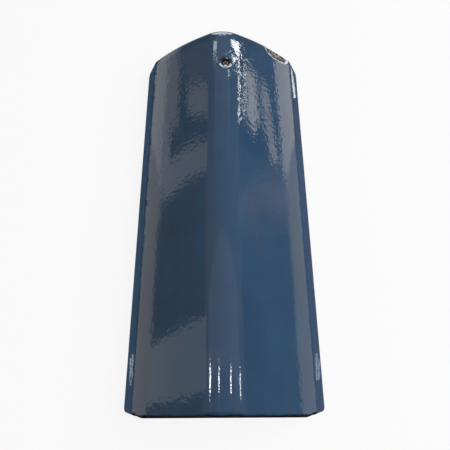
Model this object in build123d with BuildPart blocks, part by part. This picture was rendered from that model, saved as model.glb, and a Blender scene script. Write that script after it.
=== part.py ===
"""Tapered, house-shaped verge tile of glazed clay, pressed and fired as one piece.

The tile lies as it would on a level floor: on its two feet, crest up, with the wide end towards -Y
and the narrow end towards +Y. The origin is on the floor, under the middle of the tile.
The wide end laps over the narrow end of the next tile, which hides that tile's nail hole.
All sizes are in millimetres.
"""

from build123d import *

import os
from dataclasses import astuple, dataclass
from math import asin, atan2, cos, degrees, hypot, radians, sin, sqrt, tan

LENGTH = 400.0
WALL = 12.0
SKIRT_DRAFT = 20.0  # splay of the skirts, in degrees from upright

WIDE_WIDTH = 212.0  # over the feet, before their edges are rounded
WIDE_HEIGHT = 112.0
WIDE_SHOULDER_HEIGHT = 37.0  # of the corner between cheek and skirt, before it is rounded
WIDE_CREST_RADIUS = 22.0  # inside the wall
WIDE_CHEEK_RADIUS = 280.0  # inside the wall: the sloping sides are slightly crowned

NARROW_WIDTH = 180.0
NARROW_HEIGHT = 93.0
NARROW_SHOULDER_HEIGHT = 31.0
NARROW_CREST_RADIUS = 16.0
NARROW_CHEEK_RADIUS = 230.0

SHOULDER_RADIUS = 4.0  # inside the wall, at both ends

STATIONS = 7  # sections that the taper runs through, so that no face is very long

RIM_ROUND = 4.0  # outer edge of ends and feet, where the glaze rolls over
INNER_CHAMFER = 1.5  # the same edge on the underside, which is only eased
SKIRT_CORNER_ROUND = 7.0  # corner of each skirt, where foot and end meet

NAIL_HOLE_RADIUS = 3.5
NAIL_HOLE_FROM_END = 39.5
NAIL_HOLE_OFFSET = 3.5  # the hole is punched a little to the right of the crest
NAIL_HOLE_MOUTH_ROUND = 3.5

CHIP_OFFSET = 60.0  # a flake is off the narrow rim, to the right of the crest
CHIP_LENGTH = 34.0  # along the rim
CHIP_REACH = 9.5  # from the rim towards the wide end
CHIP_DEPTH = 3.5  # into the wall, at the end face


@dataclass
class Section:
    """A section across the tile: its arcs, tangent to each other, on the inside of the wall."""

    width: float
    height: float
    shoulder_height: float
    crest_radius: float
    cheek_radius: float

    def __post_init__(self):
        draft = radians(SKIRT_DRAFT)
        self.foot = self.width / 2 - WALL / cos(draft)
        # Height and corner of the inner outline, from those of the outer one.
        self.crest_centre = (0.0, self.height - WALL - self.crest_radius)
        outer_corner = (self.width / 2 - self.shoulder_height * tan(draft), self.shoulder_height)
        # The outer cheek passes through the outer corner and touches the crest arc.
        self.cheek_centre = circles_meet(
            self.crest_centre,
            self.cheek_radius - self.crest_radius,
            outer_corner,
            self.cheek_radius + WALL,
        )
        # The shoulder arc touches the cheek from within and the skirt's line.
        self.shoulder_centre = line_meets_circle(
            (self.foot - SHOULDER_RADIUS / cos(draft), 0.0),
            (-sin(draft), cos(draft)),
            self.cheek_centre,
            self.cheek_radius - SHOULDER_RADIUS,
        )
        self.crest_turn = turn_from_upright(self.cheek_centre, self.crest_centre)
        self.cheek_turn = turn_from_upright(self.cheek_centre, self.shoulder_centre)

    def towards(self, other, share):
        """The section at a share of the way to another, where every size has changed by that share."""
        sizes = zip(astuple(self), astuple(other))
        return Section(*(mine + (theirs - mine) * share for mine, theirs in sizes))

    def cheek_point(self, offset):
        """The turn and the place of the point of the outer cheek at an offset from the crest."""
        radius = self.cheek_radius + WALL
        turn = asin((offset - self.cheek_centre[0]) / radius)
        return degrees(turn), (offset, self.cheek_centre[1] + radius * cos(turn))


def circles_meet(centre_a, radius_a, centre_b, radius_b):
    """The lower left of the two points where two circles cross."""
    dx, dz = centre_b[0] - centre_a[0], centre_b[1] - centre_a[1]
    apart = hypot(dx, dz)
    along = (apart**2 + radius_a**2 - radius_b**2) / (2 * apart)
    aside = sqrt(radius_a**2 - along**2)
    return (
        centre_a[0] + (along * dx + aside * dz) / apart,
        centre_a[1] + (along * dz - aside * dx) / apart,
    )


def line_meets_circle(start, direction, centre, radius):
    """The further of the two points where a line, given by a unit direction, crosses a circle."""
    dx, dz = start[0] - centre[0], start[1] - centre[1]
    half = dx * direction[0] + dz * direction[1]
    travel = -half + sqrt(half**2 - dx**2 - dz**2 + radius**2)
    return (start[0] + travel * direction[0], start[1] + travel * direction[1])


def turn_from_upright(centre, point):
    """The angle in degrees of the direction from centre to point, from upright towards +X."""
    return degrees(atan2(point[0] - centre[0], point[1] - centre[1]))


def outline(section, plane, wall):
    """A closed outline of a section on its plane, carried down below the floor.

    wall is 0 for the inside of the tile and WALL for the outside.
    """
    draft = radians(SKIRT_DRAFT)
    below = 2 * WALL
    foot = section.foot + wall / cos(draft) + below * tan(draft)
    with BuildSketch(plane) as face:
        with BuildLine():
            crest = CenterArc(
                section.crest_centre,
                section.crest_radius + wall,
                90 - section.crest_turn,
                section.crest_turn,
            )
            cheek = CenterArc(
                section.cheek_centre,
                section.cheek_radius + wall,
                90 - section.cheek_turn,
                section.cheek_turn - section.crest_turn,
            )
            shoulder = CenterArc(
                section.shoulder_centre,
                SHOULDER_RADIUS + wall,
                SKIRT_DRAFT,
                90 - SKIRT_DRAFT - section.cheek_turn,
            )
            Line(shoulder @ 0, (foot, -below))
            Line((foot, -below), (0, -below))
            mirror(about=Plane.YZ)
        make_face()
    return face.sketch


def loop(part, hollow, distance):
    """The edges round the ends, feet and skirt corners that lie at a distance from the hollow."""
    cut_faces = part.faces().filter_by(GeomType.PLANE) + part.faces().filter_by(GeomType.CYLINDER)
    return cut_faces.edges().filter_by(
        lambda edge: abs(hollow.distance_to(edge @ 0.5) - distance) < WALL / 4
    )


def outlines(wall):
    """The outlines from the wide end to the narrow end."""
    shares = [step / (STATIONS - 1) for step in range(STATIONS)]
    return [
        outline(wide.towards(narrow, share), Plane.XZ.offset(LENGTH * (1 / 2 - share)), wall)
        for share in shares
    ]


wide = Section(
    WIDE_WIDTH, WIDE_HEIGHT, WIDE_SHOULDER_HEIGHT, WIDE_CREST_RADIUS, WIDE_CHEEK_RADIUS
)
narrow = Section(
    NARROW_WIDTH, NARROW_HEIGHT, NARROW_SHOULDER_HEIGHT, NARROW_CREST_RADIUS, NARROW_CHEEK_RADIUS
)

with BuildPart() as hollow:
    loft(outlines(0), ruled=True)

with BuildPart() as chip:
    # A spheroid lying along the rim, sunk into it from outside.
    across = (CHIP_REACH**2 + CHIP_DEPTH**2) / (2 * CHIP_DEPTH)
    along = across * CHIP_LENGTH / 2 / CHIP_REACH
    turn, (chip_x, chip_z) = narrow.cheek_point(CHIP_OFFSET)
    rim_plane = Plane(
        origin=(chip_x, LENGTH / 2, chip_z),
        x_dir=(cos(radians(turn)), 0, -sin(radians(turn))),
        z_dir=(0, -1, 0),
    )
    with BuildSketch(rim_plane):
        with Locations((0, across - CHIP_DEPTH)):
            Ellipse(along, across)
            Rectangle(2 * along, across, align=(Align.CENTER, Align.MIN), mode=Mode.SUBTRACT)
    revolve(axis=Axis(rim_plane.from_local_coords((0, across - CHIP_DEPTH, 0)), rim_plane.x_dir))

with BuildPart() as tile:
    # The pressed sheet: outside less inside, cut level at the feet.
    loft(outlines(WALL), ruled=True)
    add(hollow.part, mode=Mode.SUBTRACT)
    split(bisect_by=Plane.XY, keep=Keep.TOP)

    # Rounded skirt corners, then the edges that run right round the tile, outside and inside.
    end_edges = tile.faces().filter_by(Axis.Y).edges()
    foot_edges = tile.faces().filter_by(Axis.Z).edges()
    fillet(end_edges.filter_by(lambda edge: edge in foot_edges), SKIRT_CORNER_ROUND)
    fillet(loop(tile.part, hollow.part, WALL), RIM_ROUND)
    chamfer(loop(tile.part, hollow.part, 0), INNER_CHAMFER)

    # Nail hole through the crest, its mouth rounded by the glaze.
    with Locations((NAIL_HOLE_OFFSET, LENGTH / 2 - NAIL_HOLE_FROM_END, WIDE_HEIGHT)):
        Hole(NAIL_HOLE_RADIUS, depth=WIDE_HEIGHT)
    fillet(tile.edges(Select.LAST).sort_by(Axis.Z)[-1], NAIL_HOLE_MOUTH_ROUND)

    # Flake broken off the narrow rim.
    add(chip.part, mode=Mode.SUBTRACT)

tile.part.label = "verge_tile"
os.makedirs("parts", exist_ok=True)
export_step(tile.part, "parts/verge_tile.step")
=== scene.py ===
"""Studio scene of one glazed clay verge tile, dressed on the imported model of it.

The tile lies on its feet, crest up, wide end towards -Y. Blender works in metres; the sizes in the
classes below are in millimetres and are scaled by MM where a mesh or a lamp is made.
"""

import logging
import math
from dataclasses import astuple, dataclass, field
from enum import Enum

import bpy
import numpy as np
from mathutils import Euler, Matrix, Vector, noise


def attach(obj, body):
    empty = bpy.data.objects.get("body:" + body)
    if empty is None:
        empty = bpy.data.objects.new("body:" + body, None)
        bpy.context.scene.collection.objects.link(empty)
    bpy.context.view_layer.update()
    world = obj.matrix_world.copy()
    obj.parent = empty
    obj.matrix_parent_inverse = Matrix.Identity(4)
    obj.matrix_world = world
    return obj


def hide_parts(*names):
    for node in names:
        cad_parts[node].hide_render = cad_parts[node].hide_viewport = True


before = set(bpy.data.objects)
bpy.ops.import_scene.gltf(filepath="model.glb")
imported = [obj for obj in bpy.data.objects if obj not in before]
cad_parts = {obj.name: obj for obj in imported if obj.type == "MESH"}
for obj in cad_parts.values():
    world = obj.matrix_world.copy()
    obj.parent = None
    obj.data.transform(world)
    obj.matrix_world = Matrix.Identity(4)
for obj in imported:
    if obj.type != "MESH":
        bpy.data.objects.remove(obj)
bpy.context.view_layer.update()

MM = 0.001
TILE_NODE = "verge_tile"
BODY = "root"
WARM_TINT = 0.98

Triple = tuple[float, float, float]
Ramp = tuple[float, float, float, float]
Block = tuple[int, int, int, int]
Outline = tuple[tuple[float, float], ...]

log = logging.getLogger("verge_tile")


class Zone(Enum):
    """The parts of a section, from the crest down to the foot."""

    CREST = 0
    CHEEK = 1
    SHOULDER = 2
    SKIRT = 3
    CORNER = 4


def blend(start: np.ndarray, end: np.ndarray, share: np.ndarray) -> np.ndarray:
    """The value at a share of the way from start to end."""
    return start + (end - start) * share


def smooth(low: float, high: float, value: np.ndarray) -> np.ndarray:
    """Zero below low, one above high, and a soft ramp between them."""
    share = np.clip((value - low) / (high - low), 0.0, 1.0)
    return share * share * (3.0 - 2.0 * share)


@dataclass(frozen=True)
class SectionSizes:
    """Sizes of the section at one end of the tile, in millimetres."""

    width: float
    height: float
    shoulder_height: float
    crest_radius: float
    cheek_radius: float

    def row(self) -> np.ndarray:
        """The sizes as one array."""
        return np.array(astuple(self))


@dataclass(frozen=True)
class Taper:
    """The pressed sheet's own shape: a section of tangent arcs that shrinks from end to end."""

    length: float = 400.0
    wall: float = 12.0
    draft: float = math.radians(20.0)
    shoulder_radius: float = 4.0
    wide: SectionSizes = SectionSizes(212.0, 112.0, 37.0, 22.0, 280.0)
    narrow: SectionSizes = SectionSizes(180.0, 93.0, 31.0, 16.0, 230.0)

    def arcs(self, y: np.ndarray) -> dict[str, np.ndarray]:
        """Centres, radii and turns of the section's inner arcs.

        Args:
            y: places along the tile, in millimetres.

        Returns:
            One array per arc value, each as long as y.
        """
        share = np.asarray(y) / self.length + 0.5
        sizes = blend(self.wide.row(), self.narrow.row(), share[..., None])
        width, height, shoulder_height, crest, cheek = np.moveaxis(sizes, -1, 0)
        crest_z = height - self.wall - crest
        foot = width / 2 - self.wall / math.cos(self.draft)
        corner_x = width / 2 - shoulder_height * math.tan(self.draft)
        cheek_x, cheek_z = self._cheek_centre(crest_z, crest, cheek, corner_x, shoulder_height)
        shoulder_x, shoulder_z = self._shoulder_centre(foot, cheek_x, cheek_z, cheek)
        return {
            "crest_z": crest_z,
            "crest": crest,
            "cheek_x": cheek_x,
            "cheek_z": cheek_z,
            "cheek": cheek,
            "shoulder_x": shoulder_x,
            "shoulder_z": shoulder_z,
            "foot": foot,
            "crest_turn": np.arctan2(-cheek_x, crest_z - cheek_z),
            "cheek_turn": np.arctan2(shoulder_x - cheek_x, shoulder_z - cheek_z),
        }

    def _cheek_centre(
        self,
        crest_z: np.ndarray,
        crest: np.ndarray,
        cheek: np.ndarray,
        corner_x: np.ndarray,
        corner_z: np.ndarray,
    ) -> tuple[np.ndarray, np.ndarray]:
        """Centre of the cheek arc, which touches the crest arc and passes the outer corner.

        Args:
            crest_z: height of the crest arc's centre.
            crest: inner radius of the crest arc.
            cheek: inner radius of the cheek arc.
            corner_x: offset of the outer corner between cheek and skirt.
            corner_z: height of that corner.

        Returns:
            Offset and height of the centre.
        """
        reach_a, reach_b = cheek - crest, cheek + self.wall
        dx, dz = corner_x, corner_z - crest_z
        apart = np.hypot(dx, dz)
        along = (apart**2 + reach_a**2 - reach_b**2) / (2 * apart)
        aside = np.sqrt(reach_a**2 - along**2)
        return (along * dx + aside * dz) / apart, crest_z + (along * dz - aside * dx) / apart

    def _shoulder_centre(
        self, foot: np.ndarray, cheek_x: np.ndarray, cheek_z: np.ndarray, cheek: np.ndarray
    ) -> tuple[np.ndarray, np.ndarray]:
        """Centre of the shoulder arc, which touches the skirt's line and the cheek from within.

        Args:
            foot: offset of the inner edge of the foot.
            cheek_x: offset of the cheek arc's centre.
            cheek_z: height of the cheek arc's centre.
            cheek: inner radius of the cheek arc.

        Returns:
            Offset and height of the centre.
        """
        start_x = foot - self.shoulder_radius / math.cos(self.draft)
        dx, dz = start_x - cheek_x, -cheek_z
        way_x, way_z = -math.sin(self.draft), math.cos(self.draft)
        half = dx * way_x + dz * way_z
        travel = -half + np.sqrt(half**2 - dx**2 - dz**2 + (cheek - self.shoulder_radius) ** 2)
        return start_x + travel * way_x, travel * way_z

    def height_at(self, x: np.ndarray, y: np.ndarray, lift: float) -> np.ndarray:
        """Height of the crest and cheeks above the floor.

        Args:
            x: offsets from the crest line.
            y: places along the tile.
            lift: height above the inner skin, square to it.

        Returns:
            The height at each place.
        """
        arcs = self.arcs(y)
        aside = np.abs(x)
        crest_radius = arcs["crest"] + lift
        on_crest = arcs["crest_z"] + np.sqrt(np.maximum(crest_radius**2 - aside**2, 0.0))
        cheek_radius = arcs["cheek"] + lift
        on_cheek = arcs["cheek_z"] + np.sqrt(
            np.maximum(cheek_radius**2 - (aside - arcs["cheek_x"]) ** 2, 0.0)
        )
        return np.where(aside < crest_radius * np.sin(arcs["crest_turn"]), on_crest, on_cheek)


@dataclass(frozen=True)
class NailHole:
    """The punched hole through the crest, its mouth rounded by the glaze."""

    x: float = 3.5
    y: float = 160.5
    radius: float = 3.3
    mouth: float = 3.9
    clear: float = 9.3
    flat_steps: int = 6
    mouth_steps: int = 9
    bore_steps: int = 4
    glazed_bore_steps: int = 2
    bead_height: float = 0.55
    bead_radius: float = 7.9
    bead_half_width: float = 1.4
    bead_mean: float = 0.55
    bead_lean: float = 0.45

    def bead(self, flat: np.ndarray) -> np.ndarray:
        """How high the glaze has gathered round the mouth, most towards the wide end.

        Args:
            flat: places seen from above, one offset and one place along the tile per row.

        Returns:
            The height at each place, in millimetres.
        """
        aside, ahead = flat[:, 0] - self.x, flat[:, 1] - self.y
        away = np.hypot(aside, ahead)
        share = np.clip(np.abs(away - self.bead_radius) / self.bead_half_width, 0.0, 1.0)
        height = self.bead_height * (self.bead_mean - self.bead_lean * ahead / away)
        return height * np.cos(math.pi / 2 * share) ** 2


@dataclass(frozen=True)
class RimChip:
    """The flake off the narrow rim: a rough hollow, cut by a spheroid that lies along the rim.

    Its seed holds the ragged border still, which would change with the time of day without one.
    """

    offset: float = 63.0
    length: float = 56.0
    reach: float = 12.0
    depth: float = 3.5
    rag_scale: float = 0.33
    rag_size: float = 1.3
    rag_along: float = 0.8
    roughness: float = 0.5
    rough_scale: float = 0.55
    rough_bias: float = 0.35
    rough_fractal: tuple[float, float, int] = (0.9, 2.1, 4)
    seed: int = 1795683585

    def dig(self, taper: Taper, points: np.ndarray) -> tuple[np.ndarray, np.ndarray]:
        """Pushes the points that lie inside the spheroid down to its rough surface.

        Args:
            taper: the tile's shape, which places the spheroid on the rim.
            points: places in millimetres, one per row.

        Returns:
            The moved points, and how deep each lies under the glaze it lost.
        """
        across = (self.reach**2 + self.depth**2) / (2 * self.depth)
        along = across * self.length / 2 / self.reach
        arcs = taper.arcs(np.array(taper.length / 2))
        radius = float(arcs["cheek"]) + taper.wall
        turn = math.asin((self.offset - float(arcs["cheek_x"])) / radius)
        side = np.array([math.cos(turn), 0.0, -math.sin(turn)])
        up = np.array([math.sin(turn), 0.0, math.cos(turn)])
        rim = np.array(
            [self.offset, taper.length / 2, float(arcs["cheek_z"]) + radius * math.cos(turn)]
        )
        centre = rim + up * (across - self.depth)
        near = np.abs(points - rim).max(axis=1) < self.length
        noise.seed_set(self.seed)
        moved, depth = points.copy(), np.zeros(len(points))
        for index in np.flatnonzero(near):
            place = points[index]
            ragged = noise.noise_vector(Vector(place * self.rag_scale)) * self.rag_size
            local = place - centre
            a = (float(local @ side) + ragged.x) / along
            b = (local[1] + ragged.y * self.rag_along) / across
            if a * a + b * b >= 1.0:
                continue
            floor = -across * math.sqrt(1.0 - a * a - b * b)
            level = float(local @ up)
            if level <= floor:
                continue
            rough = noise.fractal(Vector(place * self.rough_scale), *self.rough_fractal)
            sunk = level - floor
            extra = self.roughness * (rough + self.rough_bias) * min(sunk, 1.0)
            moved[index] -= up * (sunk + extra)
            depth[index] = sunk
        return moved, depth


@dataclass(frozen=True)
class HandWork:
    """The slight unevenness that pressing, drying and glazing leave on the outer skin."""

    depth: float = 0.26
    mean: float = 0.5
    long_wave: float = 62.0
    long_share: float = 0.36
    short_wave: float = 21.0
    short_share: float = 0.2
    short_shift: Triple = (7.0, 3.0, 5.0)
    roll_from: float = 189.0
    roll_length: float = 11.0
    roll_depth: float = 0.8

    def sink(self, points: np.ndarray) -> np.ndarray:
        """How far the outer skin lies under the true form, in millimetres.

        Args:
            points: places in millimetres, one per row.

        Returns:
            The depth at each point.
        """
        sunk = np.empty(len(points))
        for index, place in enumerate(points):
            spot = Vector(place)
            slow = noise.noise(spot / self.long_wave)
            quick = noise.noise(spot / self.short_wave + Vector(self.short_shift))
            sunk[index] = self.mean + self.long_share * slow + self.short_share * quick
        rolled = np.clip((points[:, 1] - self.roll_from) / self.roll_length, 0.0, 1.0) ** 2
        return np.clip(sunk, 0.0, 1.0) * self.depth + rolled * self.roll_depth


class SheetMesh:
    """Vertices, faces and attributes of a mesh that is put together ring by ring."""

    def __init__(self) -> None:
        """Starts with an empty mesh."""
        self._places: list[np.ndarray] = []
        self._faces: list[np.ndarray] = []
        self._glaze: list[np.ndarray] = []
        self._rim: list[np.ndarray] = []
        self._count = 0

    def add(self, places: np.ndarray, glaze: float, rim: float = 0.0) -> np.ndarray:
        """Adds vertices.

        Args:
            places: one row of three coordinates per vertex, in millimetres.
            glaze: 1 where glaze covers the clay, 0 where the clay is bare.
            rim: how far round a rim the vertex lies, from 0 to 1.

        Returns:
            The numbers of the new vertices.
        """
        numbers = np.arange(self._count, self._count + len(places))
        self._places.append(places)
        self._glaze.append(np.full(len(places), glaze))
        self._rim.append(np.full(len(places), rim))
        self._count += len(places)
        return numbers

    def places(self) -> np.ndarray:
        """All the vertices so far."""
        return np.concatenate(self._places)

    def grid(self, index: np.ndarray, block: Block, flip: bool) -> None:
        """Adds the faces of a lattice, without the cells of a block.

        Args:
            index: vertex numbers, by row and column.
            block: first and last row and column that the missing cells lie between.
            flip: turns the faces over.
        """
        top, bottom, left, right = block
        a, b = index[:-1, :-1], index[:-1, 1:]
        c, d = index[1:, 1:], index[1:, :-1]
        keep = np.ones(a.shape, bool)
        keep[top:bottom, left:right] = False
        quads = np.stack([a, b, c, d], axis=-1)[keep]
        self._faces.append(quads[:, ::-1] if flip else quads)

    def band(self, start: np.ndarray, end: np.ndarray, flip: bool = False) -> None:
        """Joins two rings of the same number of vertices with a band of faces."""
        quads = np.stack([start, end, np.roll(end, -1), np.roll(start, -1)], axis=1)
        self._faces.append(quads[:, ::-1] if flip else quads)

    def ring(
        self,
        previous: np.ndarray,
        places: np.ndarray,
        glaze: float,
        rim: float = 0.0,
        flip: bool = False,
    ) -> np.ndarray:
        """Adds a ring of vertices with the band that joins it to the ring before it.

        Args:
            previous: vertex numbers of the ring before it.
            places: one row of three coordinates per vertex, in millimetres.
            glaze: 1 where glaze covers the clay, 0 where the clay is bare.
            rim: how far round a rim the ring lies, from 0 to 1.
            flip: turns the faces over.

        Returns:
            The numbers of the ring's vertices.
        """
        numbers = self.add(places, glaze, rim)
        self.band(previous, numbers, flip)
        return numbers

    def finish(self, name: str, places: np.ndarray, chipped: np.ndarray) -> bpy.types.Object:
        """Makes the Blender object.

        Args:
            name: the object's name.
            places: the final place of each vertex, in millimetres.
            chipped: how deep each vertex lies in the chip, in millimetres.

        Returns:
            The object, smooth shaded and linked to the scene.
        """
        data = bpy.data.meshes.new(name)
        data.from_pydata((places * MM).tolist(), [], np.concatenate(self._faces).tolist())
        values = {
            "glaze": np.concatenate(self._glaze),
            "rim": np.concatenate(self._rim),
            "chip": chipped,
        }
        for label, numbers in values.items():
            attribute = data.attributes.new(label, "FLOAT", "POINT")
            attribute.data.foreach_set("value", numbers.astype(np.float32))
        data.polygons.foreach_set("use_smooth", [True] * len(data.polygons))
        data.validate()
        data.update()
        piece = bpy.data.objects.new(name, data)
        bpy.context.scene.collection.objects.link(piece)
        return piece


@dataclass
class TileSheet:
    """The whole tile as one closed mesh: two skins, rounded rims, level feet, hole and chip."""

    taper: Taper = field(default_factory=Taper)
    hole: NailHole = field(default_factory=NailHole)
    chip: RimChip = field(default_factory=RimChip)
    hand: HandWork = field(default_factory=HandWork)
    rim_round: float = 4.0
    inner_ease: float = 1.5
    corner_round: float = 7.0
    rim_steps: int = 7
    crest_cells: int = 10
    cheek_cells: int = 36
    chip_from: float = 0.36
    chip_cells: tuple[int, int] = (13, 60)
    shoulder_cells: int = 8
    skirt_cells: int = 9
    corner_cells: int = 3
    hole_cells_left: int = 4
    row_step: float = 2.6
    fine_from: float = 148.0
    fine_step: float = 0.9
    corner_pull: float = 5.2
    pull_from: float = 22.0
    pull_cheek_from: float = 0.84
    pull_shoulder: tuple[float, float] = (0.45, 0.55)
    pull_skirt_bend: float = 1.25

    def __post_init__(self) -> None:
        """Lays out the rows along the tile and the columns across it."""
        draft = self.taper.draft
        self.inset = self.taper.wall - self.rim_round
        self.foot_inset = (self.inset * math.sin(draft) - self.rim_round) / math.cos(draft)
        self.corner_path = self.corner_round - self.rim_round
        self.corner_start = self.foot_inset - self.corner_path
        self.corner_y = self.taper.length / 2 - self.corner_round
        self.rows, self.row_share = self._lay_rows()
        self.side, self.zone, self.part = self._lay_columns()
        self.end_share, self.foot_share = self._share_corners()

    def _lay_rows(self) -> tuple[np.ndarray, np.ndarray]:
        """Rows along the tile.

        Returns:
            The place of each row that lies between the corners, and its share into a corner,
            which is negative towards the wide end.
        """
        coarse = np.arange(-self.corner_y, self.fine_from, self.row_step)
        count = math.ceil((self.corner_y - self.fine_from) / self.fine_step)
        fine = np.linspace(self.fine_from, self.corner_y, count + 1)
        middle = np.concatenate([coarse, fine])
        steps = np.arange(1, self.corner_cells + 1) / self.corner_cells
        rows = np.concatenate(
            [np.full(len(steps), -self.corner_y), middle, np.full(len(steps), self.corner_y)]
        )
        share = np.concatenate([-steps[::-1], np.zeros(len(middle)), steps])
        return rows, share

    def _lay_columns(self) -> tuple[np.ndarray, np.ndarray, np.ndarray]:
        """Columns from the left foot over the crest to the right foot, denser by the chip.

        Returns:
            The side, the zone and the share into the zone of each column.
        """
        def shares(count: int) -> np.ndarray:
            """Even shares into a zone, without its start."""
            return np.arange(1, count + 1) / count

        coarse, fine = (shares(count) for count in self.chip_cells)
        chip_cheek = [coarse * self.chip_from, self.chip_from + fine * (1 - self.chip_from)]
        cheeks = {-1: shares(self.cheek_cells), 1: np.concatenate(chip_cheek)}
        columns = [(0, Zone.CREST.value, 0.0)]
        for sign, cheek in cheeks.items():
            zones = (
                (Zone.CREST, shares(self.crest_cells)),
                (Zone.CHEEK, cheek),
                (Zone.SHOULDER, shares(self.shoulder_cells)),
                (Zone.SKIRT, shares(self.skirt_cells)),
                (Zone.CORNER, shares(self.corner_cells)),
            )
            run = [(sign, zone.value, part) for zone, parts in zones for part in parts]
            columns = run[::-1] + columns if sign < 0 else columns + run
        side, zone, part = (np.array(column) for column in zip(*columns))
        return side.astype(float), zone.astype(int), part

    def _share_corners(self) -> tuple[np.ndarray, np.ndarray]:
        """How far the crossings lie into the ends and the feet, rounded at the corners.

        Returns:
            The share into an end and the share into a foot, by row and column.
        """
        into_end = np.abs(self.row_share)[:, None] * np.ones(len(self.side))
        into_foot = np.where(self.zone == Zone.CORNER.value, self.part, 0.0) * np.ones(
            (len(self.rows), 1)
        )
        return (
            into_end * np.sqrt(1 - into_foot**2 / 2),
            into_foot * np.sqrt(1 - into_end**2 / 2),
        )

    def lattice(self, lift: np.ndarray | float, foot_out: float, end_out: float) -> np.ndarray:
        """Places of all the crossings of rows and columns on one layer of the wall.

        It also keeps in turns how far the sheet leans over at each crossing.

        Args:
            lift: height above the inner skin, one value or one per crossing.
            foot_out: how far the layer reaches beyond the rim's path at the feet.
            end_out: the same at the two ends.

        Returns:
            An array of rows, columns and the three coordinates, in millimetres.
        """
        way = np.sign(self.row_share)[:, None]
        y = self.rows[:, None] + way * self.end_share * (self.corner_path + end_out)
        y = y + self.corner_pull * self._drawn_in() * self._wide_end_share(y)
        arcs = self.taper.arcs(y)
        lift = np.broadcast_to(lift, y.shape)
        part = np.broadcast_to(self.part, y.shape)
        draft = self.taper.draft

        skirt_turn = math.pi / 2 - draft
        crest_turn = arcs["crest_turn"] * part
        cheek_turn = blend(arcs["crest_turn"], arcs["cheek_turn"], part)
        shoulder_turn = blend(arcs["cheek_turn"], skirt_turn, part)
        bends = (
            (0.0, arcs["crest_z"], arcs["crest"], crest_turn),
            (arcs["cheek_x"], arcs["cheek_z"], arcs["cheek"], cheek_turn),
            (arcs["shoulder_x"], arcs["shoulder_z"], self.taper.shoulder_radius, shoulder_turn),
        )
        skirt_top = -(arcs["shoulder_z"] + self.taper.shoulder_radius * math.sin(draft))
        skirt_top = skirt_top / math.cos(draft)
        down = np.where(
            self.zone == Zone.SKIRT.value,
            blend(skirt_top, self.corner_start, part),
            self.corner_start + self.foot_share * (self.corner_path + foot_out),
        )
        skirt_x = arcs["foot"] + down * math.sin(draft) + lift * math.cos(draft)
        skirt_z = -down * math.cos(draft) + lift * math.sin(draft)
        picks = [self.zone == zone.value for zone in Zone]
        round_x = [x + (radius + lift) * np.sin(turn) for x, _, radius, turn in bends]
        round_z = [z + (radius + lift) * np.cos(turn) for _, z, radius, turn in bends]
        x = np.select(picks, round_x + [skirt_x] * 2)
        z = np.select(picks, round_z + [skirt_z] * 2)
        turns = [crest_turn, cheek_turn, shoulder_turn] + [np.full(y.shape, skirt_turn)] * 2
        self.turns = np.select(picks, turns)
        return np.stack([x * self.side, y, z], axis=-1)

    def _drawn_in(self) -> np.ndarray:
        """How far the columns are drawn in, from 0 on the crest to 1 at the foot.

        Returns:
            The share of each column.
        """
        part, (top, base) = self.part, self.pull_shoulder
        return np.select(
            [self.zone == zone.value for zone in Zone],
            [
                0.0 * part,
                top * smooth(self.pull_cheek_from, 1.0, part),
                blend(top, base, part),
                blend(base, 1.0, part**self.pull_skirt_bend),
                np.ones(len(part)),
            ],
        )

    def _wide_end_share(self, y: np.ndarray) -> np.ndarray:
        """How near each place is to the wide end, where the low corners are drawn in."""
        start = self.pull_from - self.taper.length / 2
        return smooth(0.0, 1.0, (start - y) / self.pull_from)

    def rim_loop(self) -> np.ndarray:
        """The crossings on the lattice's border, once round.

        Returns:
            One row and one column per crossing.
        """
        last_row, last_column = len(self.rows) - 1, len(self.side) - 1
        loop = [(0, j) for j in range(last_column)]
        loop += [(i, last_column) for i in range(last_row)]
        loop += [(last_row, j) for j in range(last_column, 0, -1)]
        loop += [(i, 0) for i in range(last_row, 0, -1)]
        return np.array(loop)

    def rim_layers(self) -> list[np.ndarray]:
        """The rings from the outer skin round the rim to the easing on the underside.

        Returns:
            One ring per step: those of the rounded rim, and then the two of the easing.
        """
        loop = self.rim_loop()
        draft = self.taper.draft
        squares = self.end_share**2, self.foot_share**2
        end_weight = squares[0] / np.maximum(squares[0] + squares[1], 1e-9)
        layers = []
        for step in range(1, self.rim_steps + 1):
            share = step / self.rim_steps
            foot_turn = (math.pi / 2 + draft) * share
            end_turn = math.pi / 2 * share
            lift = blend(
                self.inset + self.rim_round * math.cos(foot_turn),
                self.inset + self.rim_round * math.cos(end_turn),
                end_weight,
            )
            foot_out = self.rim_round * math.sin(foot_turn)
            end_out = self.rim_round * math.sin(end_turn)
            layers.append(self.lattice(lift, foot_out, end_out)[loop[:, 0], loop[:, 1]])
        for lift in ((self.inset + self.inner_ease) / 2, self.inner_ease):
            foot_out = lift * math.tan(draft) - self.foot_inset
            layers.append(self.lattice(lift, foot_out, self.rim_round)[loop[:, 0], loop[:, 1]])
        return layers

    def hole_block(self) -> Block:
        """The cells that make way for the nail hole.

        Returns:
            First and last row, and first and last column.
        """
        near_rows = np.flatnonzero(
            (np.abs(self.rows - self.hole.y) < self.hole.clear) & (self.row_share == 0)
        )
        crest = np.flatnonzero(self.zone == Zone.CREST.value)
        left = int(np.flatnonzero(self.side == 0)[0]) - self.hole_cells_left
        return int(near_rows[0]), int(near_rows[-1]), left, int(crest[-1])

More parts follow.
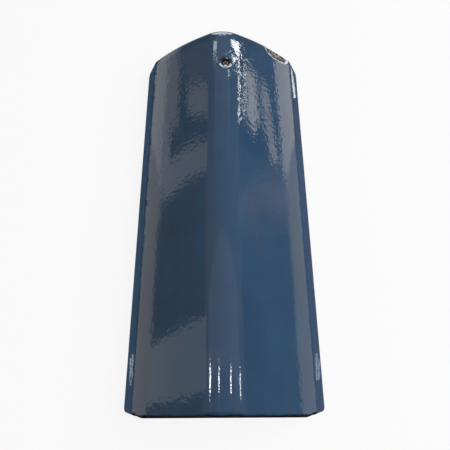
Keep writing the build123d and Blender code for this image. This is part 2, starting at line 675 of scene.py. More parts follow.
    def build(self) -> bpy.types.Object:
        """Makes the tile's mesh with its attributes.

        Returns:
            The new object, with no finish yet.
        """
        outer = self.lattice(self.taper.wall, 0.0, 0.0)
        turns = self.turns
        foot_out = -self.inner_ease - self.foot_inset
        inner = self.lattice(0.0, foot_out, self.rim_round - self.inner_ease)
        layers = self.rim_layers()
        mesh = SheetMesh()
        normal = np.stack([np.sin(turns) * np.sign(outer[..., 0]), 0 * turns, np.cos(turns)], -1)
        sunk = normal * self.hand.sink(outer.reshape(-1, 3)).reshape(turns.shape)[..., None]
        outer = outer - sunk

        outer_index = mesh.add(outer.reshape(-1, 3), 1.0).reshape(turns.shape)
        inner_index = mesh.add(inner.reshape(-1, 3), 0.0).reshape(turns.shape)
        block = self.hole_block()
        mesh.grid(outer_index, block, flip=False)
        mesh.grid(inner_index, block, flip=True)

        rows, columns = self.rim_loop().T
        previous = outer_index[rows, columns]
        for number, layer in enumerate(layers, 1):
            share = number / self.rim_steps if number <= self.rim_steps else 0.0
            if share:
                fade = math.cos(math.pi / 2 * number / self.rim_steps)
                layer = layer - sunk[rows, columns] * fade
            previous = mesh.ring(previous, layer, float(number < self.rim_steps), share)
        mesh.band(previous, inner_index[rows, columns])
        self._line_hole(mesh, outer_index, inner_index, block)

        places, chipped = self.chip.dig(self.taper, mesh.places())
        return mesh.finish(TILE_NODE + "_glazed", places, chipped)

    def _line_hole(
        self,
        mesh: SheetMesh,
        outer_index: np.ndarray,
        inner_index: np.ndarray,
        block: Block,
    ) -> None:
        """Closes the hole's block with rings down the mouth and the bore.

        Args:
            mesh: the mesh under way.
            outer_index: vertex numbers of the outer lattice.
            inner_index: vertex numbers of the inner lattice.
            block: first and last row and column of the missing cells.
        """
        hole, taper = self.hole, self.taper
        top, bottom, left, right = block
        ring = [(top, j) for j in range(left, right)]
        ring += [(i, right) for i in range(top, bottom)]
        ring += [(bottom, j) for j in range(right, left, -1)]
        ring += [(i, left) for i in range(bottom, top, -1)]
        rows, columns = np.array(ring).T
        centre = np.array([hole.x, hole.y])

        def circle(start: np.ndarray, radius: float) -> np.ndarray:
            """Places round the hole at a radius, in the directions of the block's border.

            Args:
                start: the border's places, seen from above.
                radius: the radius, in millimetres.

            Returns:
                The places, seen from above.
            """
            ahead = start - centre
            angle = np.arctan2(ahead[:, 1], ahead[:, 0])
            return centre + radius * np.stack([np.cos(angle), np.sin(angle)], axis=1)

        def layer(flat: np.ndarray, lift: float, drop: float, sunk: bool) -> np.ndarray:
            """The same places on a skin, dropped by some depth.

            Args:
                flat: the places, seen from above.
                lift: height of the skin above the inner one.
                drop: how far they are dropped.
                sunk: follows the hand work and the bead too.

            Returns:
                The places with their heights.
            """
            z = taper.height_at(flat[:, 0], flat[:, 1], lift) - drop
            spots = np.column_stack([flat, z])
            if sunk:
                spots[:, 2] += hole.bead(flat) - self.hand.sink(spots)
            return spots

        border = mesh.places()[outer_index[rows, columns]][:, :2]
        previous = outer_index[rows, columns]
        for radius in np.linspace(hole.clear, hole.radius + hole.mouth, hole.flat_steps):
            spots = layer(circle(border, radius), taper.wall, 0.0, True)
            previous = mesh.ring(previous, spots, 1.0, flip=True)
        for step in range(1, hole.mouth_steps + 1):
            turn = math.pi / 2 * step / hole.mouth_steps
            flat = circle(border, hole.radius + hole.mouth * (1 - math.sin(turn)))
            spots = layer(flat, taper.wall, hole.mouth * (1 - math.cos(turn)), True)
            previous = mesh.ring(previous, spots, 1.0, step / hole.mouth_steps, flip=True)
        high = mesh.places()[previous]
        bore = circle(border, hole.radius)
        low = layer(bore, 0.0, 0.0, False)
        for step in range(1, hole.bore_steps + 1):
            spots = blend(high, low, step / hole.bore_steps)
            glaze = float(step <= hole.glazed_bore_steps)
            previous = mesh.ring(previous, spots, glaze, 1.0, flip=True)
        inner_ring = inner_index[rows, columns]
        halfway = blend(bore, mesh.places()[inner_ring][:, :2], 0.5)
        previous = mesh.ring(previous, layer(halfway, 0.0, 0.0, False), 0.0, flip=True)
        mesh.band(previous, inner_ring, flip=True)


class NodeBench:
    """A short way to lay and join shader nodes in one material."""

    def __init__(self, name: str) -> None:
        """Starts a material with an empty node tree.

        Args:
            name: the material's name.
        """
        self.material = bpy.data.materials.new(name)
        self.material.use_nodes = True
        self.tree = self.material.node_tree
        self.tree.nodes.clear()

    def add(self, kind: str, settings: dict | None = None, **inputs: object) -> bpy.types.Node:
        """Adds a node.

        Args:
            kind: the node's Blender type.
            settings: values of the node itself, by name.
            inputs: socket values or sockets to join, by socket name with _ for a space.

        Returns:
            The new node.
        """
        node = self.tree.nodes.new(kind)
        for name, value in (settings or {}).items():
            setattr(node, name, value)
        for name, value in inputs.items():
            self.plug(node, name.replace("_", " "), value)
        return node

    def plug(self, node: bpy.types.Node, socket: str | int, value: object) -> None:
        """Sets an input of a node, or joins it to another node's output.

        Args:
            node: the node.
            socket: the name or number of its input.
            value: a value, or the output to join.
        """
        if isinstance(value, bpy.types.NodeSocket):
            self.tree.links.new(value, node.inputs[socket])
        else:
            node.inputs[socket].default_value = value

    def attribute(self, name: str) -> bpy.types.NodeSocket:
        """The value of a mesh attribute."""
        return self.add("ShaderNodeAttribute", {"attribute_name": name}).outputs["Fac"]

    def places(self, stretch: Triple = (1.0, 1.0, 1.0)) -> bpy.types.NodeSocket:
        """Object coordinates, stretched along each axis."""
        source = self.add("ShaderNodeTexCoord").outputs["Object"]
        return self.add("ShaderNodeMapping", Vector=source, Scale=stretch).outputs["Vector"]

    def noise(
        self, places: bpy.types.NodeSocket, scale: float, detail: float = 2.0, rough: float = 0.5
    ) -> bpy.types.NodeSocket:
        """Smooth noise from 0 to 1.

        Args:
            places: where to read it.
            scale: its waves in a metre.
            detail: how many finer layers it has.
            rough: how strong these are.

        Returns:
            The noise.
        """
        node = self.add(
            "ShaderNodeTexNoise", Vector=places, Scale=scale, Detail=detail, Roughness=rough
        )
        return node.outputs["Fac"]

    def ramp(
        self, value: bpy.types.NodeSocket, low: float, high: float, start: float, end: float
    ) -> bpy.types.NodeSocket:
        """A value mapped smoothly from one range to another and held at its ends.

        Args:
            value: the value.
            low: where its range starts.
            high: where it ends.
            start: the result at the start.
            end: the result at the end.

        Returns:
            The result.
        """
        node = self.add("ShaderNodeMapRange", {"interpolation_type": "SMOOTHSTEP"}, Value=value)
        limits = {"From Min": low, "From Max": high, "To Min": start, "To Max": end}
        for socket, number in limits.items():
            node.inputs[socket].default_value = number
        return node.outputs["Result"]

    def math(self, task: str, first: object, second: object = 0.0) -> bpy.types.NodeSocket:
        """Works out one sum with a Math node.

        Args:
            task: what the node does.
            first: its first value or socket.
            second: its second one.

        Returns:
            The result.
        """
        node = self.add("ShaderNodeMath", {"operation": task})
        self.plug(node, 0, first)
        self.plug(node, 1, second)
        return node.outputs[0]

    def mix(self, share: object, first: object, second: object) -> bpy.types.NodeSocket:
        """A colour between two colours.

        Args:
            share: how far it lies towards the second one.
            first: the first colour or socket.
            second: the second one.

        Returns:
            The colour.
        """
        node = self.add("ShaderNodeMix", {"data_type": "RGBA"})
        self.plug(node, 0, share)
        for place, colour in ((6, first), (7, second)):
            joined = isinstance(colour, bpy.types.NodeSocket)
            self.plug(node, place, colour if joined else (*colour, 1.0))
        return node.outputs[2]

    def output(self, surface: bpy.types.NodeSocket) -> bpy.types.Material:
        """Joins a shader to the material's output.

        Args:
            surface: the shader.

        Returns:
            The material.
        """
        node = self.add("ShaderNodeOutputMaterial")
        self.tree.links.new(surface, node.inputs["Surface"])
        return self.material


@dataclass(frozen=True)
class Pattern:
    """Noise of one scale, and the ramp that turns it into a share."""

    scale: float
    detail: float
    low: float
    high: float
    start: float = 0.0
    end: float = 1.0
    rough: float = 0.5

    def share(self, bench: NodeBench, places: bpy.types.NodeSocket) -> bpy.types.NodeSocket:
        """The share at each place."""
        source = bench.noise(places, self.scale, self.detail, self.rough)
        return bench.ramp(source, self.low, self.high, self.start, self.end)


@dataclass(frozen=True)
class GlazedClay:
    """Blue glaze over brown clay, which shows where the glaze is thin, chipped or missing. The rims,
    the nail hole's mouth and the chip's depth carry painted shade, and a white line round the chip is
    partly a painted highlight.

    A ramp gives the two ends of a value's range and the two shares that they turn into. Those that
    start with chip go by the depth in the chip, in millimetres. Noise scales are waves in a metre,
    and the two ramps that start with peel go by places in metres.
    """

    blue: Triple = (0.030, 0.076, 0.150)
    deep_blue: Triple = (0.018, 0.050, 0.108)
    slate: Triple = (0.052, 0.092, 0.150)
    thin_brown: Triple = (0.035, 0.030, 0.027)
    clay: Triple = (0.300, 0.225, 0.175)
    dark_clay: Triple = (0.130, 0.088, 0.068)
    pale_clay: Triple = (0.470, 0.460, 0.480)
    # Near white, for the line round the chip: partly white slip and partly a painted highlight on the
    # glaze's broken edge.
    slip_and_highlight: Triple = (0.820, 0.820, 0.840)
    # Near black: painted shade on the rims, down the nail hole's mouth and deep in the chip.
    painted_shade: Triple = (0.006, 0.008, 0.012)
    ior: float = 1.52
    gloss: Pattern = Pattern(42.0, 3.0, 0.3, 0.7, 0.03, 0.075)
    clay_roughness: float = 0.85
    nicks: tuple[tuple[float, float, float, float], ...] = (
        (-94.0, -91.0, 22.0, 0.9),
        (92.0, 81.0, 7.0, 1.3),
        (88.5, 113.0, 15.0, 1.0),
        (88.5, 98.0, 16.0, 1.1),
    )
    nick_border: tuple[float, float] = (0.6, 1.2)
    grain: tuple[float, float, float] = (900.0, 3.0, 0.6)
    raggedness: float = 0.22
    cover_ramp: Ramp = (0.38, 0.56, 0.0, 1.0)
    cloud: Pattern = Pattern(16.0, 3.0, 0.35, 0.68)
    cloud_share: float = 0.45
    run_noise: tuple[float, float] = (75.0, 2.0)
    run_stretch: Triple = (1.0, 0.12, 1.0)
    slate_ramp: Ramp = (0.5, 0.75, 0.0, 0.5)
    speck: Pattern = Pattern(420.0, 2.0, 0.62, 0.8, 0.0, 0.35)
    iron: Pattern = Pattern(1300.0, 1.0, 0.72, 0.8, 0.0, 0.6)
    rim_waver: Ramp = (0.3, 0.7, -0.1, 0.1)
    thin_ramp: Ramp = (0.54, 0.66, 0.0, 0.6)
    # How far round a rim the painted shade takes over.
    rim_shade_ramp: Ramp = (0.0, 0.4, 0.0, 0.96)
    patch: Pattern = Pattern(60.0, 4.0, 0.35, 0.75, 0.0, 0.45, 0.6)
    fleck: Pattern = Pattern(190.0, 4.0, 0.53, 0.61, 0.0, 0.85, 0.65)
    gap: Pattern = Pattern(110.0, 2.0, 0.38, 0.54, 0.2, 1.0)
    chip_bare: Ramp = (0.02, 0.16, 1.0, 0.0)
    chip_broken: Ramp = (0.05, 0.5, 0.0, 1.0)
    chip_shade: Ramp = (0.5, 1.0, 0.0, 0.92)
    chip_border_in: Ramp = (0.0, 0.1, 0.0, 1.0)
    chip_border_out: Ramp = (0.75, 1.05, 1.0, 0.0)
    peel: tuple[Triple, Triple] = ((130.0, 1.0, 0.06), (260.0, 1.5, 0.30))
    peel_aside: Ramp = (0.012, 0.03, 0.4, 1.0)
    peel_along: Ramp = (-0.2, 0.14, 0.42, 0.56)
    grit_depth: float = 0.9

    def material(self) -> bpy.types.Material:
        """Builds the node tree.

        Returns:
            The material.
        """
        bench = NodeBench("glazed_clay")
        plain = bench.places()
        grain = bench.noise(plain, *self.grain)
        covered = self._cover(bench, plain, grain)
        shader = bench.add("ShaderNodeBsdfPrincipled", IOR=self.ior)
        colour = bench.mix(covered, self._clay(bench, plain), self._glaze(bench, plain))
        bench.plug(shader, "Base Color", colour)
        gloss = self.gloss.share(bench, plain)
        rough = bench.ramp(covered, 0.0, 1.0, self.clay_roughness, 0.0)
        bench.plug(shader, "Roughness", bench.math("MAXIMUM", gloss, rough))
        bench.plug(shader, "Normal", self._relief(bench, plain, covered, grain))
        return bench.output(shader.outputs[0])

    def _cover(
        self, bench: NodeBench, plain: bpy.types.NodeSocket, grain: bpy.types.NodeSocket
    ) -> bpy.types.NodeSocket:
        """How fully the glaze covers the clay, with a ragged border.

        Args:
            bench: the material's bench.
            plain: object coordinates.
            grain: the fine noise that makes the border ragged.

        Returns:
            1 under whole glaze and 0 on bare clay.
        """
        chip = bench.ramp(bench.attribute("chip"), *self.chip_bare)
        glaze = bench.math("MULTIPLY", bench.attribute("glaze"), chip)
        for *place, radius in self.nicks:
            away = bench.add("ShaderNodeVectorMath", {"operation": "DISTANCE"}, Vector=plain)
            away.inputs[1].default_value = tuple(value * MM for value in place)
            start, end = (radius * MM * share for share in self.nick_border)
            whole = bench.ramp(away.outputs["Value"], start, end, 0.0, 1.0)
            glaze = bench.math("MULTIPLY", glaze, whole)
        uneven = bench.ramp(grain, 0.0, 1.0, -self.raggedness, self.raggedness)
        return bench.ramp(bench.math("ADD", glaze, uneven), *self.cover_ramp)

    def _glaze(self, bench: NodeBench, plain: bpy.types.NodeSocket) -> bpy.types.NodeSocket:
        """The glaze's colour: clouds, runs along the tile and specks, and round the rims and down the
        nail hole's mouth a mix of painted shade, near black, and the dark brown of thin glaze.

        Args:
            bench: the material's bench.
            plain: object coordinates.

        Returns:
            The colour.
        """
        cloud = bench.math("MULTIPLY", self.cloud.share(bench, plain), self.cloud_share)
        colour = bench.mix(cloud, self.blue, self.deep_blue)
        runs = bench.noise(bench.places(self.run_stretch), *self.run_noise)
        colour = bench.mix(bench.ramp(runs, *self.slate_ramp), colour, self.slate)
        colour = bench.mix(self.speck.share(bench, plain), colour, self.deep_blue)
        colour = bench.mix(self.iron.share(bench, plain), colour, self.dark_clay)
        # Painted shade: round every rim and down the nail hole's mouth the colour turns near black,
        # mixed with the dark brown of thin glaze.
        rim = bench.math("ADD", bench.attribute("rim"), bench.ramp(runs, *self.rim_waver))
        rim_shade_and_thin_glaze = bench.mix(bench.ramp(runs, *self.thin_ramp), self.painted_shade, self.thin_brown)
        return bench.mix(bench.ramp(rim, *self.rim_shade_ramp), colour, rim_shade_and_thin_glaze)

    def _clay(self, bench: NodeBench, plain: bpy.types.NodeSocket) -> bpy.types.NodeSocket:
        """The fired clay's colour: patchy, with pale flecks where the chip broke it, painted shade
        deeper in the chip, and a white line round its border that is partly slip and partly a painted
        highlight.

        Args:
            bench: the material's bench.
            plain: object coordinates.

        Returns:
            The colour.
        """
        colour = bench.mix(self.patch.share(bench, plain), self.clay, self.dark_clay)
        broken = bench.ramp(bench.attribute("chip"), *self.chip_broken)
        flecks = self.fleck.share(bench, plain)
        colour = bench.mix(bench.math("MULTIPLY", broken, flecks), colour, self.pale_clay)
        # Painted shade: the chip turns near black with its depth, between the flecks.
        shade = bench.ramp(bench.attribute("chip"), *self.chip_shade)
        shade = bench.math("MULTIPLY", shade, bench.math("SUBTRACT", 1.0, flecks))
        colour = bench.mix(shade, colour, self.painted_shade)
        # A white line round the chip's border, partly white slip and partly a painted highlight on the
        # glaze's broken edge.
        border = bench.ramp(bench.attribute("chip"), *self.chip_border_out)
        inside = bench.ramp(bench.attribute("chip"), *self.chip_border_in)
        border = bench.math("MULTIPLY", border, inside)
        white = bench.math("MULTIPLY", border, self.gap.share(bench, plain))
        return bench.mix(white, colour, self.slip_and_highlight)

    def _relief(
        self,
        bench: NodeBench,
        plain: bpy.types.NodeSocket,
        covered: bpy.types.NodeSocket,
        grain: bpy.types.NodeSocket,
    ) -> bpy.types.NodeSocket:
        """The fine relief: soft orange peel in the glaze, grit on the clay.

        Args:
            bench: the material's bench.
            plain: object coordinates.
            covered: how fully the glaze covers the clay.
            grain: the fine noise that roughens the clay.

        Returns:
            The normal for the shader.
        """
        broad, small = (
            bench.math("MULTIPLY", bench.noise(plain, scale, detail), height)
            for scale, detail, height in self.peel
        )
        across, along, _ = bench.add("ShaderNodeSeparateXYZ", Vector=plain).outputs
        aside = bench.ramp(bench.math("ABSOLUTE", across), *self.peel_aside)
        gain = bench.math("MULTIPLY", bench.ramp(along, *self.peel_along), aside)
        peel = bench.math("MULTIPLY", bench.math("ADD", broad, small), gain)
        soft = bench.add("ShaderNodeBump", Strength=1.0, Distance=MM, Height=peel)
        grit = bench.math("MULTIPLY", grain, bench.ramp(covered, 0.0, 1.0, 1.0, 0.0))
        rough = bench.add("ShaderNodeBump", Strength=1.0, Distance=self.grit_depth * MM)
        bench.plug(rough, "Height", grit)
        bench.plug(rough, "Normal", soft.outputs[0])
        return rough.outputs[0]


def backdrop_rays(tree: bpy.types.NodeTree) -> bpy.types.NodeSocket:
    """Tells the rays that show the backdrop from those that carry light.

    Args:
        tree: the node tree of the floor's material or of the world.

    Returns:
        1 for camera, glossy and transmission rays, and 0 for the others.
    """
    rays = tree.nodes.new("ShaderNodeLightPath").outputs
    seen = rays["Is Camera Ray"]
    for kind in ("Is Glossy Ray", "Is Transmission Ray"):
        either = tree.nodes.new("ShaderNodeMath")
        either.operation = "MAXIMUM"
        tree.links.new(seen, either.inputs[0])
        tree.links.new(rays[kind], either.inputs[1])
        seen = either.outputs[0]
    return seen


@dataclass(frozen=True)
class PaleFloor:
    """Plain white paper under the tile, which runs out of view on every side."""

    size: float = 12000.0
    colour: Triple = (0.86, 0.86, 0.86)
    lift: float = 0.88

    def build(self) -> bpy.types.Object:
        """Makes the floor with its material.

        Returns:
            The floor.
        """
        half = self.size * MM / 2
        corners = [(-half, -half, 0), (half, -half, 0), (half, half, 0), (-half, half, 0)]
        data = bpy.data.meshes.new("floor")
        data.from_pydata(corners, [], [(0, 1, 2, 3)])
        floor = bpy.data.objects.new("floor", data)
        bpy.context.scene.collection.objects.link(floor)
        data.materials.append(self._paper())
        return floor

    def _paper(self) -> bpy.types.Material:
        """White paper that keeps the tile's shadow.

        Returns:
            The material.
        """
        bench = NodeBench("paper")
        matt = bench.add("ShaderNodeBsdfDiffuse", Color=(*self.colour, 1.0))
        white = bench.add("ShaderNodeEmission", Color=(1.0, 1.0, 1.0, 1.0), Strength=1.0)
        share = bench.math("MULTIPLY", backdrop_rays(bench.tree), self.lift)
        both = bench.add("ShaderNodeMixShader")
        bench.plug(both, 0, share)
        bench.plug(both, 1, matt.outputs[0])
        bench.plug(both, 2, white.outputs[0])
        return bench.output(both.outputs[0])


@dataclass(frozen=True)
class Lamp:
    """A soft square lamp that points at a spot and isn't mirrored in the glaze."""

    name: str
    place: Triple
    target: Triple
    size: tuple[float, float]
    watts: float

    def build(self) -> bpy.types.Object:
        """Makes the lamp.

        Returns:
            The lamp's object.
        """
        data = bpy.data.lights.new(self.name, "AREA")
        data.shape = "RECTANGLE"
        data.size, data.size_y = (side * MM for side in self.size)
        data.energy = self.watts
        lamp = bpy.data.objects.new(self.name, data)
        place, target = Vector(self.place) * MM, Vector(self.target) * MM
        lamp.location = place
        lamp.rotation_euler = (target - place).to_track_quat("-Z", "Y").to_euler()
        lamp.visible_glossy = False
        lamp.visible_camera = False
        bpy.context.scene.collection.objects.link(lamp)
        return lamp


class Glow(Enum):
    """How bright each kind of card is, as red, green and blue."""

    BLACK = (0.015, 0.016, 0.018)
    WALL_LEFT = (0.21, 0.21, 0.20)
    WALL_RIGHT = (0.13, 0.13, 0.14)
    SHADE_LEFT = (0.065, 0.115, 0.180)
    SHADE_RIGHT = (0.10, 0.12, 0.175)
    WINDOW = (0.92, 0.90, 0.86)
    DIM_WINDOW = (0.38, 0.38, 0.37)
    FAR_WINDOW = (3.3, 3.0, 2.7)
    LAMP_BAR = (2.0, 1.8, 1.65)
    LOW_BAR_LEFT = (0.80, 0.75, 0.70)
    LOW_BAR_RIGHT = (2.0, 1.85, 1.7)
    FAINT_WIDE = (0.33, 0.30, 0.28)
    FAINT = (0.58, 0.50, 0.44)
    LOW_TUBE = (12.0, 12.0, 11.5)
    HIGH_TUBE = (14.0, 14.0, 13.5)
    SKY_RIGHT = (18.0, 18.5, 19.0)
    SKY_LOW_RIGHT = (12.0, 12.0, 12.5)
    SKY_LEFT = (6.0, 6.2, 6.5)
    SKY_BACK = (9.0, 9.2, 9.6)
    GLINT = (0.85, 1.0, 1.1)
    LONG_GLINT = (2.2, 2.3, 2.4)
    BOARD = (0.86, 0.78, 0.66)
    FAR_BOARD_LEFT = (1.26, 1.22, 1.22)
    FAR_BOARD_RIGHT = (1.85, 1.7, 1.5)
    CEILING = (0.66, 0.66, 0.66)
    FAR_CEILING_1 = (0.48, 0.48, 0.48)
    FAR_CEILING_2 = (0.60, 0.60, 0.61)
    FAR_CEILING_3 = (0.71, 0.71, 0.73)


@dataclass(frozen=True)
class Card:
    """A flat card of the studio that only shows as a reflection in the glaze."""

    name: str
    corners: tuple[Triple, ...]
    glow: Triple

    def build(self) -> bpy.types.Object:
        """Makes the card.

        Returns:
            The card.
        """
        data = bpy.data.meshes.new(self.name)
        points = [tuple(value * MM for value in corner) for corner in self.corners]
        data.from_pydata(points, [], [tuple(range(len(points)))])
        card = bpy.data.objects.new(self.name, data)
        bpy.context.scene.collection.objects.link(card)
        bench = NodeBench(self.name)
        glow = bench.add("ShaderNodeEmission", Color=(*self.glow, 1.0), Strength=1.0)
        data.materials.append(bench.output(glow.outputs[0]))
        card.visible_camera = False
        card.visible_diffuse = False
        card.visible_shadow = False
        card.visible_transmission = False
        return card


def level_card(name: str, outline: Outline, glow: Triple, height: float) -> Card:
    """A level card, each corner given by its offset from the crest line and its place along."""
    return Card(name, tuple((x, y, height) for x, y in outline), glow)


def level_pair(name: str, outline: Outline, glows: tuple[Glow, Glow], height: float) -> list[Card]:
    """The same level card on the left and on the right.

    Args:
        name: what the two names start with.
        outline: the right card's corners.
        glows: the brightness of the left and of the right card.
        height: how high both lie.

    Returns:
        The left and the right card.
    """
    sides = (("left", -1.0), ("right", 1.0))
    return [
        level_card(f"{name}_{side}", tuple((sign * x, y) for x, y in outline), glow.value, height)
        for (side, sign), glow in zip(sides, glows)
    ]


def ceiling_lamp(name: str, place: Triple, size: tuple[float, float], strength: float) -> Card:
    """A bright level card overhead, which shows in the glaze as a glint.

    Args:
        name: the card's name.
        place: its middle.
        size: its width across and along the tile.
        strength: its brightness.

    Returns:
        The card.
    """
    x, y, height = place
    wide, long = size[0] / 2, size[1] / 2
    outline = ((x - wide, y - long), (x + wide, y - long), (x + wide, y + long), (x - wide, y + long))
    return level_card(name, outline, (strength, strength, strength * WARM_TINT), height)


@dataclass
class Studio:
    """Plain soft light: a dim room, one large lamp from the right, and the cards round the tile."""

    room_light: float = 0.37
    floor: PaleFloor = field(default_factory=PaleFloor)
    key: Lamp = Lamp("key", (1050.0, 60.0, 1300.0), (0.0, 0.0, 40.0), (900.0, 900.0), 16.8)
    tent_reach: float = 2800.0
    tent_top: float = 2600.0
    wall: float = 340.0
    window_gap: float = 2.0
    sky_back: float = 1000.0
    ceiling_height: float = 1500.0
    shade_level: float = 1.0
    board_level: float = 1.5
    glint_level: float = 2.0

    def tent(self) -> list[Card]:
        """The four sides and the roof of the grey tent round the set.

        Returns:
            The cards, which only the glaze shows.
        """
        reach, top = self.tent_reach, self.tent_top
        grey = (self.room_light,) * 3
        ends = ((-reach, -reach), (reach, -reach), (reach, reach), (-reach, reach))
        sides = [
            Card(f"tent_side_{number}", ((*start, 0.0), (*end, 0.0), (*end, top), (*start, top)), grey)
            for number, (start, end) in enumerate(zip(ends, ends[1:] + ends[:1]), 1)
        ]
        return sides + [level_card("tent_roof", ends, grey, top)]

    def _wall_cards(self) -> list[Card]:
        """The dark walls on both sides, and the windows, bars, tubes and skies before them.

        Returns:
            The cards, the walls first.
        """
        left, right = -self.wall, self.wall
        near_left, near_right = left + self.window_gap, right - self.window_gap
        behind = right - self.window_gap / 2
        rows = (
            ("wall_left", left, Glow.WALL_LEFT,
             ((-900, 0), (120, 0), (200, 40), (1300, 60), (1300, 240), (-900, 240))),
            ("wall_right", right, Glow.WALL_RIGHT,
             ((-900, 0), (150, 0), (220, 8), (1300, 8), (1300, 240), (-900, 240))),
            ("window_front_left", near_left, Glow.WINDOW,
             ((-172, 0), (-94, 0), (-73, 86), (-48, 168), (-20, 290), (-132, 310), (-150, 178),
              (-163, 98))),
            ("window_middle_left", near_left, Glow.WINDOW,
             ((181, 11), (203, 69), (230, 141), (263, 250), (208, 250), (176, 156), (148, 92),
              (120, 22))),
            ("window_far_left", near_left, Glow.WINDOW,
             ((329, 115), (372, 240), (308, 255), (277, 121))),
            ("window_dim_left", near_left, Glow.DIM_WINDOW,
             ((396, 69), (477, 291), (374, 234), (344, 114))),
            ("low_bar_left", near_left, Glow.LOW_BAR_LEFT,
             ((384, -2), (384, 71), (252, 78), (250, 15), (88, 13), (88, -2))),
            ("faint_wide_right", behind, Glow.FAINT_WIDE,
             ((196, 300), (178, 0), (70, 0), (88, 300))),
            ("faint_right", near_right, Glow.FAINT,
             ((166, 300), (150, 0), (108, 0), (124, 300))),
            ("window_far_right", near_right, Glow.FAR_WINDOW,
             ((383, 176), (353, 129), (271, 120), (243, 139), (285, 175))),
            ("lamp_bar_right", near_right, Glow.LAMP_BAR,
             ((343, 109), (319, 68), (264, 57), (185, 32), (193, 66), (267, 94))),
            ("low_bar_right", near_right, Glow.LOW_BAR_RIGHT,
             ((380, 20), (380, -2), (170, -2), (170, 10), (249, 16))),
            ("tube_low_right", near_right, Glow.LOW_TUBE,
             ((391, 182), (391, 188), (294, 197), (294, 192))),
            ("tube_high_right", near_right, Glow.HIGH_TUBE,
             ((415, 212), (415, 222), (290, 230), (290, 223))),
            ("sky_right", near_right, Glow.SKY_RIGHT,
             ((600, 525), (444, 212), (411, 208), (424, 245), (523, 414))),
            ("sky_low_right", near_right, Glow.SKY_LOW_RIGHT,
             ((398, 240), (507, 434), (707, 794), (662, 752), (492, 434), (394, 240))),
            ("sky_left", near_left, Glow.SKY_LEFT,
             ((560, 460), (814, 842), (720, 760), (530, 470))),
        )
        return [
            Card(name, tuple((reach, along, height) for along, height in outline), glow.value)
            for name, reach, glow, outline in rows
        ]

    def _end_skies(self) -> list[Card]:
        """The bright skies behind the narrow end and high up before the wide end.

        Returns:
            The two cards.
        """
        back = ((-570, 264), (570, 264), (570, 600), (170, 860), (-170, 860), (-570, 600))
        corners = tuple((x, self.sky_back, height) for x, height in back)
        return [
            Card("sky_back", corners, Glow.SKY_BACK.value),
            ceiling_lamp("sky_front", (0.0, -1110.0, 2000.0), (1100.0, 980.0), 17.0),
        ]

    def _glints(self) -> list[Card]:
        """The thin strips by the feet whose glints show low on the skirts.

        Returns:
            The cards.
        """
        rows = (
            (Glow.GLINT, ((-107.2, -138), (-105.8, -138), (-109.6, -166), (-111.0, -166))),
            (Glow.GLINT, ((-109.4, -134), (-108.2, -134), (-112.2, -161), (-113.4, -161))),
            (Glow.GLINT, ((106.4, -134), (107.8, -134), (111.6, -162), (110.2, -162))),
            (Glow.GLINT, ((104.4, -139), (105.4, -139), (108.8, -162), (107.6, -162))),
            (Glow.LONG_GLINT, ((94.0, 168), (96.2, 168), (97.6, 224), (95.0, 224))),
        )
        return [
            level_card(f"glint_{number}", outline, glow.value, self.glint_level)
            for number, (glow, outline) in enumerate(rows, 1)
        ]

    def _low_cards(self) -> list[Card]:
        """What lies round the tile: the shades, the glints, the black front and the boards.

        Returns:
            The cards.
        """
        black = Glow.BLACK.value
        rim = ((-70, -193), (70, -193), (70, -240), (-70, -240))
        rim_height = 130.0
        shade = ((86, 260), (103, -202), (172, -202), (155, 260))
        front = ((-500, -201), (500, -201), (500, -900), (-500, -900))
        wall_front = ((-900, -900, 0), (900, -900, 0), (900, -900, 1500), (-900, -900, 1500))
        board = ((172, -240), (172, 140), (338, 140), (338, -240))
        far_board = ((156, 140), (150, 420), (338, 420), (338, 140))
        far_glows = (Glow.FAR_BOARD_LEFT, Glow.FAR_BOARD_RIGHT)
        return [
            level_card("shade_rim", rim, black, rim_height),
            *self._glints(),
            *level_pair("shade", shade, (Glow.SHADE_LEFT, Glow.SHADE_RIGHT), self.shade_level),
            level_card("shade_front", front, black, self.shade_level),
            Card("wall_front", wall_front, black),
            *level_pair("board", board, (Glow.BOARD, Glow.BOARD), self.board_level),
            *level_pair("board_far", far_board, far_glows, self.board_level),
        ]

    def _ceiling(self) -> list[Card]:
        """The grey strips of the ceiling, and the four lamps under it.

        Returns:
            The cards.
        """
        strips = (
            ("ceiling", 1800, 80, 520, Glow.CEILING),
            ("far_ceiling_1", 900, 850, 1000, Glow.FAR_CEILING_1),
            ("far_ceiling_2", 900, 1000, 1130, Glow.FAR_CEILING_2),
            ("far_ceiling_3", 900, 1130, 1900, Glow.FAR_CEILING_3),
        )
        lamps = (
            ((-846.0, -2.0, 957.0), (130.0, 76.0), 26.0),
            ((-320.0, 8.0, 1255.0), (75.0, 50.0), 30.0),
            ((462.0, 5.0, 1205.0), (75.0, 48.0), 30.0),
            ((974.0, -24.0, 812.0), (130.0, 46.0), 20.0),
        )
        cards = []
        for name, half, start, end, glow in strips:
            outline = ((-half, start), (half, start), (half, end), (-half, end))
            cards.append(level_card(name, outline, glow.value, self.ceiling_height))
        return cards + [ceiling_lamp(f"lamp_{number}", *lamp) for number, lamp in enumerate(lamps, 1)]

    def cards(self) -> list[Card]:
        """The tent, and the cards whose reflections the photograph shows in the glaze.

        Returns:
            All the cards, those of the tent first.
        """
        groups = (self.tent(), self._wall_cards(), self._end_skies(), self._low_cards(),
                  self._ceiling())
        return [card for group in groups for card in group]

    def build(self) -> None:
        """Makes the room, the floor, the lamp and the cards."""
        bpy.context.scene.world = self._room()
        self.floor.build()
        self.key.build()
        for card in self.cards():
            card.build()

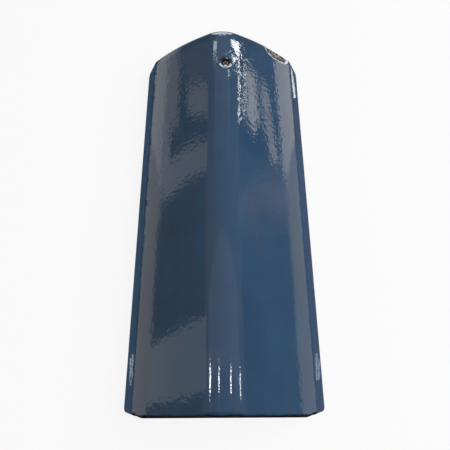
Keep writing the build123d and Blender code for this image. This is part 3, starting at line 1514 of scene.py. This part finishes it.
    def _room(self) -> bpy.types.World:
        """A dim room whose backdrop is white to the camera and in gloss and glass.

        Returns:
            The world.
        """
        world = bpy.data.worlds.new("room")
        world.use_nodes = True
        tree = world.node_tree
        light = tree.nodes["Background"]
        light.inputs["Strength"].default_value = self.room_light
        white = tree.nodes.new("ShaderNodeBackground")
        white.inputs["Strength"].default_value = 1.0
        for node in (light, white):
            node.inputs["Color"].default_value = (1.0, 1.0, 1.0, 1.0)
        both = tree.nodes.new("ShaderNodeMixShader")
        tree.links.new(backdrop_rays(tree), both.inputs[0])
        tree.links.new(light.outputs[0], both.inputs[1])
        tree.links.new(white.outputs[0], both.inputs[2])
        tree.links.new(both.outputs[0], tree.nodes["World Output"].inputs["Surface"])
        return world


@dataclass(frozen=True)
class PhotoCamera:
    """The camera above the wide end, tipped towards the narrow end."""

    place: Triple = (1.87, -200.0, 700.0)
    tip: float = math.radians(16.6)
    roll: float = math.radians(-0.34)
    focal_pixels: float = 647.2
    image_pixels: float = 450.0
    sensor: float = 36.0
    clip_start: float = 10.0

    def build(self) -> bpy.types.Object:
        """Makes the camera and gives it to the scene.

        Returns:
            The camera's object.
        """
        data = bpy.data.cameras.new("camera")
        data.sensor_width = self.sensor
        data.lens = self.focal_pixels / self.image_pixels * self.sensor
        data.clip_start = self.clip_start * MM
        camera = bpy.data.objects.new("camera", data)
        camera.location = Vector(self.place) * MM
        turn = Euler((self.tip, 0.0, 0.0)).to_matrix() @ Matrix.Rotation(self.roll, 3, "Z")
        camera.rotation_euler = turn.to_euler()
        bpy.context.scene.collection.objects.link(camera)
        bpy.context.scene.camera = camera
        return camera


def main() -> None:
    """Builds the camera, the studio and the tile."""
    logging.basicConfig(level=logging.INFO, format="%(name)s: %(message)s")
    bpy.context.scene.view_settings.view_transform = "Standard"
    PhotoCamera().build()
    log.info("camera placed")
    Studio().build()
    log.info("studio built")
    tile = TileSheet().build()
    tile.data.materials.append(GlazedClay().material())
    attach(tile, BODY)
    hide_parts(TILE_NODE)
    log.info("%s: %d faces", tile.name, len(tile.data.polygons))


if __name__ == "__main__":
    main()
